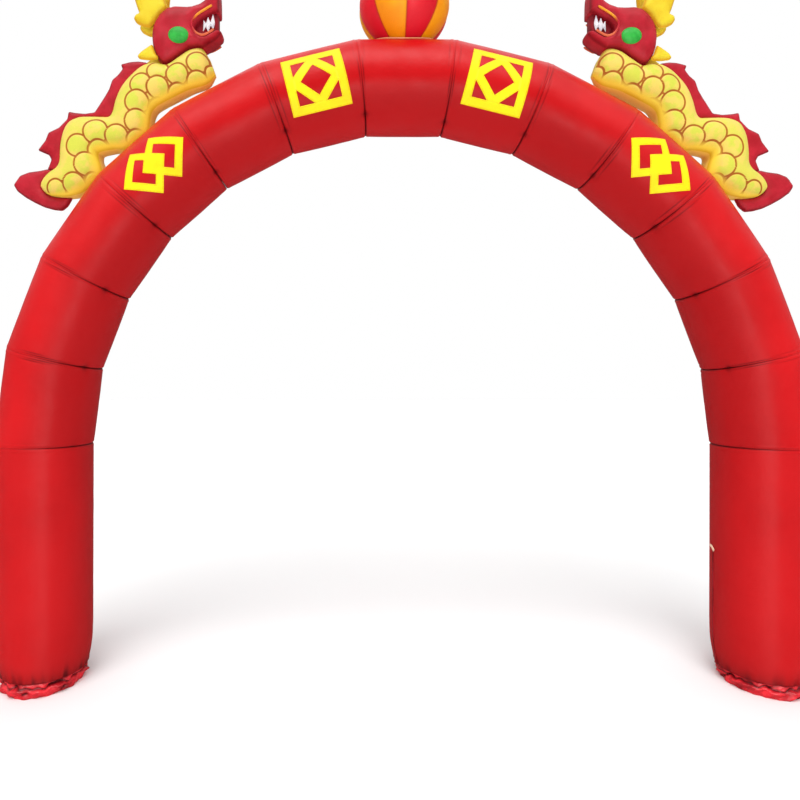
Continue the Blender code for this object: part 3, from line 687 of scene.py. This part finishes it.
def framed_lozenge():
    """A square frame with a lozenge frame inside it: (outline, holes)."""
    half = SQUARE_HALF
    inner = half - SQUARE_STROKE
    start = SQUARE_STROKE * math.sqrt(2) / 2
    across = inner - start
    corners = [
        [(right * inner, up * inner), (right * inner, up * start), (right * start, up * inner)]
        for right in (-1, 1) for up in (-1, 1)
    ]
    outline = [(-half, -half), (half, -half), (half, half), (-half, half)]
    return outline, corners + [[(-across, 0), (0, across), (across, 0), (0, -across)]]


def to_segments(points, loops):
    """Each point's distance from the nearest side of these closed loops, and which side it is."""
    starts = np.concatenate([np.asarray(loop, float) for loop in loops])
    ends = np.concatenate([np.roll(np.asarray(loop, float), -1, axis=0) for loop in loops])
    run = ends - starts
    offset = points[:, None, :] - starts[None]
    share = np.clip((offset * run).sum(-1) / (run ** 2).sum(-1), 0, 1)
    gaps = np.linalg.norm(offset - share[..., None] * run, axis=-1)
    nearest = gaps.argmin(1)
    every = np.arange(len(points))
    return gaps[every, nearest], nearest + share[every, nearest]


def add_motif(word, where, number, shape):
    """A cloth motif sewn to the front of a panel, with a line of stitches inside its edge."""
    outline, holes = shape
    curve = bpy.data.curves.new("motif", "CURVE")
    curve.dimensions = "2D"
    curve.fill_mode = "FRONT"
    for loop in (outline, *holes):
        spline = curve.splines.new("POLY")
        spline.points.add(len(loop) - 1)
        spline.use_cyclic_u = True
        for point, (across, up) in zip(spline.points, loop):
            point.co = (across, up, 0.0, 1.0)
    guide = new_object("guide", curve)
    flat = bpy.data.meshes.new_from_object(guide.evaluated_get(bpy.context.evaluated_depsgraph_get()))
    bpy.data.objects.remove(guide)
    cut = bmesh.new()
    cut.from_mesh(flat)
    bpy.data.meshes.remove(flat)
    reach = max(max(abs(x), abs(y)) for x, y in outline)
    steps = int(reach / APPLIQUE_STEP)
    for direction in ((1, 0, 0), (0, 1, 0)):
        for step in range(-steps, steps + 1):
            place = [(step + 0.5) * APPLIQUE_STEP * part for part in direction]
            everything = cut.verts[:] + cut.edges[:] + cut.faces[:]
            bmesh.ops.bisect_plane(cut, geom=everything, plane_co=place, plane_no=direction)
    area = sum(face.calc_area() for face in cut.faces)
    points = np.array([vert.co[:2] for vert in cut.verts])
    edge, _ = to_segments(points, [outline, *holes])
    theta = math.pi / 2 - points[:, 1] / TUBE_RADIUS
    along = points[:, 0] + PANEL_LENGTH / 2
    radius, _ = panel_surface(number, theta, along)
    radius = radius + APPLIQUE_LIFT + APPLIQUE_THICKNESS * np.minimum(edge / 0.02, 1) ** 0.5
    for vert, where_to in zip(cut.verts, panel_points(number, theta, radius, points[:, 0])):
        vert.co = where_to
    mesh = bpy.data.meshes.new(f"applique_{word}_{where}")
    bmesh.ops.recalc_face_normals(cut, faces=cut.faces)
    facing = sum((face.normal * face.calc_area() for face in cut.faces), Vector())
    if facing.y > 0:
        bmesh.ops.reverse_faces(cut, faces=cut.faces)
    cut.to_mesh(mesh)
    cut.free()
    mark(mesh, "edge", edge)
    mesh.shade_smooth()
    obj = piece(mesh, YELLOW_CLOTH, "yellow_cloth", f"motif_{word}_{where}")
    thick = obj.modifiers.new("thickness", "SOLIDIFY")
    thick.thickness = APPLIQUE_THICKNESS
    thick.offset = -1.0


for motif_side, motif_word in ((-1, "left"), (1, "right")):
    add_motif(motif_word, "outer", CROWN + 3 * motif_side, double_lozenge())
    add_motif(motif_word, "inner", CROWN + motif_side, framed_lozenge())

# -------- the ball

GORES = 8
GORE_DIP = 0.020  # how far the seams lie below the gores' middles
GORE_PUCKER = 0.005
BALL_SWELL = 0.018  # how far the skin stands out from its node
BALL_AROUND = 32 * GORES


def outside_tube(points, clear=0.001):
    """Moves the points that lie in the arch's tube out to its surface."""
    turn = np.arctan2(points[..., 0], points[..., 2] - SPRING)
    number = np.clip(np.round(turn / TURN), -CROWN, CROWN) * TURN
    out = np.stack([np.sin(number), np.zeros_like(number), np.cos(number)], -1)
    rise = ((points - np.array([0.0, 0.0, SPRING])) * out).sum(-1) - APOTHEM
    away = np.hypot(rise, points[..., 1])
    grown = np.maximum(1.0, (TUBE_RADIUS + clear) / np.maximum(away, 1e-6))
    grown = np.where(rise > 0, grown, 1.0)
    moved = points + (rise * (grown - 1))[..., None] * out
    moved[..., 1] = points[..., 1] * grown
    return moved


def add_ball():
    """A ball of eight gores, alternately orange and red, pressed down on the crown."""
    low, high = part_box("ball")
    radius = (high.x - low.x) / 2 + BALL_SWELL
    middle = np.array([(low.x + high.x) / 2, (low.y + high.y) / 2, high.z + BALL_SWELL - radius])
    rise = np.linspace(math.pi / 2 - 0.03, -math.pi / 2 + 0.03, 130)
    rise, around = np.meshgrid(rise, turns(BALL_AROUND), indexing="ij")
    belt = np.cos(rise)
    seam = np.abs(np.sin(around * GORES / 2))
    off_seam = seam * belt * radius * 2 / GORES
    size = radius - GORE_DIP * belt * (1 - seam ** 0.55)
    puckers = np.zeros_like(size)
    for gore in range(GORES):
        here = bell(np.angle(np.exp(1j * (around - gore * math.tau / GORES))), 0.0, 0.5)
        puckers += here * np.maximum(waves(60 + gore, rise, (31, 43, 59, 71)), 0)
    size -= GORE_PUCKER * puckers * np.exp(-off_seam / 0.025) * belt
    narrow = belt * (1 - 0.28 * np.clip(-np.sin(rise), 0, 1) ** 2)
    points = middle + np.stack([
        size * narrow * np.cos(around), size * narrow * np.sin(around), size * np.sin(rise),
    ], -1)
    # Painted shade along the seams between the gores.
    dark = np.exp(-(off_seam / 0.010) ** 2)
    down = rise[:, 0] * -radius
    mesh = ringed_mesh("gored_ball", outside_tube(points), down, math.tau * radius, {"painted_shade": dark})
    ball = piece(mesh, BALL_RED_CLOTH, "orange_cloth", "ball")
    mesh.materials.append(ORANGE_CLOTH)
    for face in mesh.polygons:
        turn = math.atan2(face.center.y, face.center.x)
        face.material_index = math.floor(turn / math.tau * GORES) % 2


add_ball()

# -------- the dragons

# A rib for each bend of the body from chest to tail: where its back and belly points lie, out
# from the centre plane and up from the ground, and its thickness.
BODY_RIBS = np.array([
    (1.926, 6.150, 1.868, 5.985, 0.10), (2.000, 6.250, 1.944, 5.885, 0.24),
    (2.105, 6.235, 2.108, 5.826, 0.31), (2.215, 6.160, 2.216, 5.775, 0.33),
    (2.335, 6.085, 2.303, 5.730, 0.33), (2.476, 6.104, 2.382, 5.686, 0.34),
    (2.603, 6.058, 2.438, 5.650, 0.34), (2.714, 5.958, 2.470, 5.612, 0.34),
    (2.794, 5.855, 2.488, 5.560, 0.34), (2.850, 5.730, 2.498, 5.480, 0.34),
    (2.881, 5.612, 2.520, 5.390, 0.34), (2.915, 5.566, 2.620, 5.312, 0.33),
    (2.985, 5.566, 2.726, 5.235, 0.33), (3.095, 5.569, 2.850, 5.232, 0.33),
    (3.206, 5.561, 2.950, 5.215, 0.34), (3.302, 5.518, 2.995, 5.200, 0.34),
    (3.357, 5.434, 3.003, 5.180, 0.35), (3.386, 5.331, 2.998, 5.140, 0.35),
    (3.397, 5.220, 2.975, 5.075, 0.36), (3.403, 5.124, 2.965, 4.985, 0.36),
    (3.437, 5.058, 3.030, 4.915, 0.35), (3.508, 5.013, 3.150, 4.815, 0.32),
    (3.564, 4.958, 3.318, 4.775, 0.26), (3.592, 4.902, 3.476, 4.788, 0.18),
    (3.588, 4.862, 3.548, 4.818, 0.06),
])
BODY_ROWS = 15  # points between one rib and the next
BODY_AROUND = 112
BODY_STEP = 0.0075  # about the way from one row of points to the next
SCALE_PUFF = 0.010
LINE_DEPTH = 0.006  # of the quilted outlines between the scales

# The scales on a dragon's side: how far out and up their middles are, and their radii.
SCALES = [
    (1.862, 5.988, 0.090), (1.870, 5.812, 0.092), (2.018, 6.068, 0.104), (2.020, 5.882, 0.104),
    (2.214, 5.944, 0.104), (2.204, 5.756, 0.106), (2.402, 5.978, 0.104), (2.402, 5.816, 0.104),
    (2.566, 5.845, 0.104), (2.400, 5.622, 0.104), (2.603, 5.672, 0.112), (2.606, 5.487, 0.112),
    (2.606, 5.304, 0.106), (2.802, 5.340, 0.110), (3.002, 5.382, 0.118), (2.982, 5.210, 0.098),
    (3.172, 5.242, 0.110), (3.090, 5.066, 0.114), (3.022, 4.900, 0.092), (3.216, 4.874, 0.106),
    (3.402, 4.830, 0.094),
]


def scale_print(out, up):
    """What is printed at a point of the dragon's side: its distance from the nearest scale's
    outline, and how near a scale's middle it is. Scales nearer the head and lower down lie over
    the others."""
    ink, centre = np.full(out.shape, 0.1), np.full(out.shape, 0.3)
    for scale_out, scale_up, radius in sorted(SCALES, key=lambda scale: -scale[0] - scale[1]):
        away = np.hypot(out - scale_out, up - scale_up)
        within = away < radius
        rim = np.abs(radius - away)
        ink = np.where(within, rim, np.minimum(ink, rim))
        centre = np.where(within, 1 - (away / radius) ** 2, centre)
    return ink, centre


def catmull(rows, steps):
    """A smooth run through the rows of a table, this many steps from one to the next."""
    padded = np.concatenate([2 * rows[:1] - rows[1:2], rows, 2 * rows[-1:] - rows[-2:-1]])
    share = np.arange(steps)[:, None] / steps
    runs = []
    for a, b, c, d in zip(padded, padded[1:], padded[2:], padded[3:]):
        runs.append(b + share * (c - a) / 2 + share ** 2 * (a - 2.5 * b + 2 * c - d / 2)
                    + share ** 3 * (-a / 2 + 1.5 * b - 1.5 * c + d / 2))
    return np.concatenate(runs + [rows[-1:]])


def add_body(side, word):
    """The dragon's body, lofted from rib to rib, with its scales puffed between their outlines."""
    ribs = catmull(BODY_RIBS, BODY_ROWS)
    angle = turns(BODY_AROUND)
    back, belly, thick = ribs[:, None, 0:2], ribs[:, None, 2:4], np.maximum(ribs[:, 4], 0.02)[:, None]
    cos, sin = np.cos(angle)[None], np.sin(angle)[None]
    flat = (back + belly) / 2 + (np.sign(cos) * np.abs(cos) ** 0.9)[..., None] * (back - belly) / 2
    deep = np.sign(sin) * np.abs(sin) ** 0.8 * thick / 2
    ink, centre = scale_print(flat[..., 0], flat[..., 1])
    facing = np.clip(np.abs(sin) * 2.4 - 0.6, 0, 1)
    belly_side = np.clip(-cos * 3.4 - 1.7, 0, 1)
    shown = facing * (1 - belly_side)
    puff = SCALE_PUFF * centre * shown - LINE_DEPTH * np.exp(-(ink / 0.011) ** 2) * shown
    deep = deep + np.sign(sin) * puff
    run = np.arange(len(ribs))[:, None] * BODY_STEP
    fold = np.maximum(waves(5 if side < 0 else 6, run * 2.0, (5, 8, 11, 17)), 0)
    edge = np.exp(-((1 - np.abs(cos)) / 0.12))
    deep = deep * (1 - 0.10 * fold * edge)
    points = outside_tube(np.stack([side * flat[..., 0], deep, flat[..., 1]], -1))
    values = {
        "ink": ink, "centre": centre, "belly": belly_side + 0 * ink,
        "rim": np.clip(2.0 - np.abs(sin) / 0.30, 0, 1) + 0 * ink,
    }
    mesh = ringed_mesh(f"dragon_scaled_body_{word}", points, run[:, 0], 1.1, values)
    piece(mesh, SCALE_CLOTH, "gold_cloth", f"dragon_{word}_body")


def outline_of(node):
    """A flat-sided node's outline, cut through its middle: points (x, z) in order."""
    low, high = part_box(node)
    shape = bmesh.new()
    shape.from_mesh(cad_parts[node].data)
    bmesh.ops.remove_doubles(shape, verts=shape.verts, dist=2e-5)
    everything = shape.verts[:] + shape.edges[:] + shape.faces[:]
    bmesh.ops.bisect_plane(
        shape, geom=everything, plane_co=(0, (low.y + high.y) / 2, 0), plane_no=(0, 1, 0),
        clear_inner=True, clear_outer=True,
    )
    loops, unused = [], set(shape.verts)
    while unused:
        here = min(unused, key=lambda vert: vert.index)
        unused.discard(here)
        loop = [here]
        while True:
            ahead = [edge.other_vert(here) for edge in here.link_edges if edge.other_vert(here) in unused]
            if not ahead:
                break
            here = min(ahead, key=lambda vert: vert.index)
            unused.discard(here)
            loop.append(here)
        loops.append(np.array([(vert.co.x, vert.co.z) for vert in loop]))
    shape.free()
    return max(loops, key=lambda loop: way_along(loop)[-1])


def eased(loop, step, softness):
    """The outline as evenly spaced points, with its corners rounded."""
    closed = np.concatenate([loop, loop[:1]])
    run = way_along(closed)
    count = max(24, int(run[-1] / step))
    at = np.arange(count) * run[-1] / count
    even = np.interp(at, run, closed[:, 0]) + 1j * np.interp(at, run, closed[:, 1])
    offset = np.minimum(at, run[-1] - at)
    kernel = np.exp(-0.5 * (offset / softness) ** 2)
    smooth = np.fft.ifft(np.fft.fft(even) * np.fft.fft(kernel / kernel.sum()))
    return np.stack([smooth.real, smooth.imag], -1)


def inside(points, loop):
    x, z = points[:, 0, None], points[:, 1, None]
    after = np.roll(loop, -1, axis=0)
    spans = (loop[:, 1] > z) != (after[:, 1] > z)
    run = np.where(after[:, 1] == loop[:, 1], 1.0, after[:, 1] - loop[:, 1])
    crossing = loop[:, 0] + (z - loop[:, 1]) * (after[:, 0] - loop[:, 0]) / run
    return (spans & (x < crossing)).sum(1) % 2 == 1


WALL_ROWS = 3  # rows of points round a puffed piece's edge


def add_puffed(name, node, finish, slot, full, rim, reach, seed, step=0.010, softness=0.010, relief=None,
               pucker=0.005, lift=0.0, on_tube=False):
    """A blown-up piece with the outline of a flat-sided node. Its half thickness grows from rim
    at its edge to full where that is reach away, and its cloth puckers along the seam."""
    low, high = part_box(node)
    middle = (low.y + high.y) / 2 + lift
    loop = eased(outline_of(node), step, softness)
    (left, bottom), (right, top) = loop.min(0), loop.max(0)
    across, up = np.meshgrid(np.arange(left, right, step), np.arange(bottom, top, step * 0.87))
    across[1::2] += step / 2
    grid = np.stack([across.ravel(), up.ravel()], -1)
    grid = grid[inside(grid, loop)]
    grid = grid[to_segments(grid, [loop])[0] > 0.6 * step]
    count = len(loop)
    verts, _, faces, origins, _, _ = delaunay_2d_cdt(
        [Vector(p) for p in loop] + [Vector(p) for p in grid],
        [(i, (i + 1) % count) for i in range(count)], [list(range(count))], 1, 1e-7,
    )
    found = {first: i for i, source in enumerate(origins) for first in source}
    ring = [found[i] for i in range(count)]
    flat = np.array([tuple(p) for p in verts])
    away, where = to_segments(flat, [loop])
    away[ring] = 0.0
    turn = where * math.tau / count
    length = way_along(np.concatenate([loop, loop[:1]]))[-1]
    counts = [max(2, round(length * rate)) for rate in (8, 11, 15, 21)]
    folds = np.maximum(waves(seed, turn, counts, 1.2), 0)
    half = rim + (full - rim) * np.sqrt(1 - (1 - np.minimum(away / reach, 1)) ** 2)
    half = half - pucker * folds * np.exp(-away / 0.035) * (1 - np.exp(-away / 0.004))
    if relief:
        half = half + relief(np.abs(flat[:, 0]), flat[:, 1]) * np.minimum(away / 0.05, 1)
    size = len(flat)
    points = [np.stack([flat[:, 0], side, flat[:, 1]], -1) for side in (middle - half, middle + half)]
    # Painted shade near the seam round the edge, and an even painted shade on the side walls.
    painted_shade = [np.exp(-away / 0.012)] * 2
    ahead, behind = np.roll(loop, -1, axis=0), np.roll(loop, 1, axis=0)
    tangent = (ahead - behind) / np.linalg.norm(ahead - behind, axis=1)[:, None]
    normal = np.stack([tangent[:, 1], -tangent[:, 0]], -1)
    if inside(loop + 0.002 * normal, loop).mean() > 0.5:
        normal = -normal
    walls = [ring]
    for row in range(1, WALL_ROWS + 1):
        tilt = -math.pi / 2 + math.pi * row / (WALL_ROWS + 1)
        pushed = loop + 0.4 * min(rim, 0.02) * math.cos(tilt) * normal
        level = np.full(count, middle + rim * math.sin(tilt))
        points.append(np.stack([pushed[:, 0], level, pushed[:, 1]], -1))
        painted_shade.append(np.full(count, 0.3))
        walls.append(list(range(2 * size + (row - 1) * count, 2 * size + row * count)))
    walls.append([size + i for i in ring])
    sides = []
    for a, b in zip(walls, walls[1:]):
        sides += zip(a, a[1:] + a[:1], b[1:] + b[:1], b)
    caps = [tuple(face) for face in faces] + [tuple(size + i for i in reversed(face)) for face in faces]
    points = np.concatenate(points)
    if on_tube:
        points = outside_tube(points)
    mesh = clean_mesh(name, points, caps + sides, values={"painted_shade": np.concatenate(painted_shade)})
    piece(mesh, finish, slot, node)


# Where the head swells, out and up, how widely and how far: brow, cheek, jaw and nostril.
HEAD_SWELLS = [
    (2.300, 6.500, 0.085, 0.014), (2.130, 6.240, 0.100, 0.012), (1.900, 6.300, 0.060, 0.010),
    (1.885, 6.700, 0.050, 0.018), (2.040, 6.600, 0.050, 0.012), (2.390, 6.300, 0.090, 0.010),
]


def head_relief(out, up):
    """How far the head's side swells at a point."""
    total = np.zeros_like(out)
    for swell_out, swell_up, width, height in HEAD_SWELLS:
        total = total + height * np.exp(-((out - swell_out) ** 2 + (up - swell_up) ** 2) / width ** 2)
    return total


def add_eye(name, node, facing):
    """A domed oval eye on one side of the head."""
    low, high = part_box(node)
    middle = (low + high) / 2
    rows, around = 20, 48
    rise = np.linspace(math.pi / 2 - 0.02, 0.0, rows)[:, None]
    turn = turns(around)[None]
    base = low.y if facing > 0 else high.y
    half = Vector(((high.x - low.x) / 2, high.y - low.y, (high.z - low.z) / 2))
    points = np.stack([
        middle.x + half.x * np.cos(rise) * np.cos(turn),
        base + facing * (half.y + 0.012) * np.sin(rise) - facing * 0.012 + 0 * turn,
        middle.z + half.z * np.cos(rise) * np.sin(turn),
    ], -1)
    # Darker towards the dome's rim: the eye's printed outline, and painted shade where it meets the head.
    mesh = ringed_mesh(name, points, rise[:, 0] * 0.1, 0.6, {"painted_shade": np.exp(-rise / 0.16) + 0 * turn})
    piece(mesh, GREEN_CLOTH, "green_cloth", node)


def smooth_node(node, finish):
    """Gives a thin round CAD piece a finer surface, and its finish."""
    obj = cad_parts[node]
    obj.data.materials.clear()
    obj.data.materials.append(finish)
    weld = obj.modifiers.new("weld", "WELD")
    weld.merge_threshold = 0.00002
    rounder = obj.modifiers.new("rounder", "SUBSURF")
    rounder.levels = rounder.render_levels = 2


def add_dragon(side, word):
    """A dragon: its body, its head's pieces, and a pair of each piece that has a far side."""
    seed = 100 if side < 0 else 200

    def puff(name, part, finish, slot, full, rim, reach, order, **more):
        add_puffed(f"dragon_{name}", f"dragon_{word}_{part}", finish, slot, full, rim, reach,
                   seed + order, **more)

    add_body(side, word)
    puff(f"skull_{word}", "head", CRIMSON_CLOTH, "crimson_cloth", 0.148, 0.080, 0.13, 0,
         relief=head_relief, step=0.012, softness=0.014)
    puff(f"spines_{word}", "crest", CRIMSON_CLOTH, "crimson_cloth", 0.036, 0.010, 0.06, 1, softness=0.008)
    puff(f"tail_fin_{word}", "fluke", CRIMSON_CLOTH, "crimson_cloth", 0.048, 0.010, 0.10, 2, on_tube=True)
    puff(f"throat_{word}", "mouth", DARK_CLOTH, "dark_cloth", 0.068, 0.060, 0.03, 3, softness=0.004,
         pucker=0.002)
    for facing, where in ((-1, "front"), (1, "rear")):
        order = 10 if facing < 0 else 20
        end = f"{word}_{where}"
        puff(f"fangs_{end}", f"teeth_{where}", WHITE_CLOTH, "white_cloth", 0.014, 0.004, 0.012, order,
             step=0.005, softness=0.003, pucker=0.0, lift=-0.008 * facing)
        puff(f"antler_{end}", f"horn_{where}", GOLD_CLOTH, "gold_cloth", 0.050, 0.012, 0.06, order + 1,
             softness=0.012)
        puff(f"leaf_ear_{end}", f"ear_{where}", GOLD_CLOTH, "gold_cloth", 0.032, 0.008, 0.05, order + 2,
             step=0.008)
        add_eye(f"dragon_dome_eye_{end}", f"dragon_{word}_eye_{where}", facing)
        smooth_node(f"dragon_{word}_lip_{where}", LIP_CLOTH)


smooth_node("ball_piping", PIPING_CLOTH)
for dragon_side, dragon_word in ((-1, "left"), (1, "right")):
    add_dragon(dragon_side, dragon_word)

# -------- floor, light and camera


FLOOR_REACH = 60.0
FLOOR_GREY = (0.92, 0.92, 0.92)
HORIZON, ZENITH = 0.10, 1.0  # how strongly the world lights the arch
KEY_TOWARDS = (-0.10, -0.50, 0.86)
FILL_PLACE = (0.5, -14.0, 2.4)
EYE = (-0.47, -6.11, 3.05)  # a close, wide view, a little left of the middle
EYE_ROLL = 0.1  # degrees


def add_stage():
    """The pale floor, left out of glossy reflections."""
    floor = bpy.data.meshes.new("floor")
    corners = [(-1, -1), (1, -1), (1, 1), (-1, 1)]
    floor.from_pydata([(x * FLOOR_REACH, y * FLOOR_REACH, 0) for x, y in corners], [], [(0, 1, 2, 3)])
    nodes = Nodes(bpy.data.materials.new("pale_floor"))
    nodes.feed(nodes.shader, Base_Color=FLOOR_GREY, Roughness=0.95, Specular_IOR_Level=0.1)
    floor.materials.append(nodes.owner)
    ground = new_object("floor", floor)
    ground.visible_glossy = False


def add_world():
    """White behind the arch; for the light it gives, brighter overhead than at the horizon."""
    world = bpy.data.worlds.new("sky")
    bpy.context.scene.world = world
    nodes = Nodes(world)
    nodes.tree.nodes.clear()
    split = nodes.add("ShaderNodeSeparateXYZ")
    nodes.join(nodes.add("ShaderNodeTexCoord").outputs["Generated"], split.inputs[0])
    lit, seen = nodes.add("ShaderNodeBackground"), nodes.add("ShaderNodeBackground")
    nodes.feed(lit, Color=(1, 1, 1), Strength=nodes.step(split.outputs["Z"], 0.0, 0.9, HORIZON, ZENITH))
    nodes.feed(seen, Color=(1, 1, 1))
    both = nodes.add("ShaderNodeMixShader")
    seen_at_all = nodes.add("ShaderNodeLightPath").outputs["Is Camera Ray"]
    for value, socket in zip((seen_at_all, lit.outputs[0], seen.outputs[0]), both.inputs):
        nodes.join(value, socket)
    nodes.feed(nodes.add("ShaderNodeOutputWorld"), Surface=both.outputs[0])


def add_lamp(name, kind, place, aim, power, **shape):
    """A lamp that shines from a place towards another."""
    light = bpy.data.lights.new(name, kind)
    light.energy = power
    for key, value in shape.items():
        setattr(light, key, value)
    lamp = new_object(name, light)
    lamp.location = place
    lamp.rotation_euler = (Vector(aim) - Vector(place)).to_track_quat("-Z", "Y").to_euler()


def add_camera():
    data = bpy.data.cameras.new("camera")
    data.lens = 27.6
    data.shift_x = 0.055
    data.shift_y = -0.035
    data.clip_end = 200.0
    camera = new_object("camera", data)
    level = Matrix.Translation(EYE) @ Matrix.Rotation(math.pi / 2, 4, "X")
    camera.matrix_world = level @ Matrix.Rotation(math.radians(EYE_ROLL), 4, "Z")
    bpy.context.scene.camera = camera


add_stage()
add_world()
add_lamp("key", "SUN", KEY_TOWARDS, (0, 0, 0), 1.6, angle=math.radians(34.0))
add_lamp("fill", "AREA", FILL_PLACE, (0.0, 0.0, 3.0), 460.0, shape="DISK", size=3.0)
add_camera()
bpy.context.scene.view_settings.view_transform = "Standard"
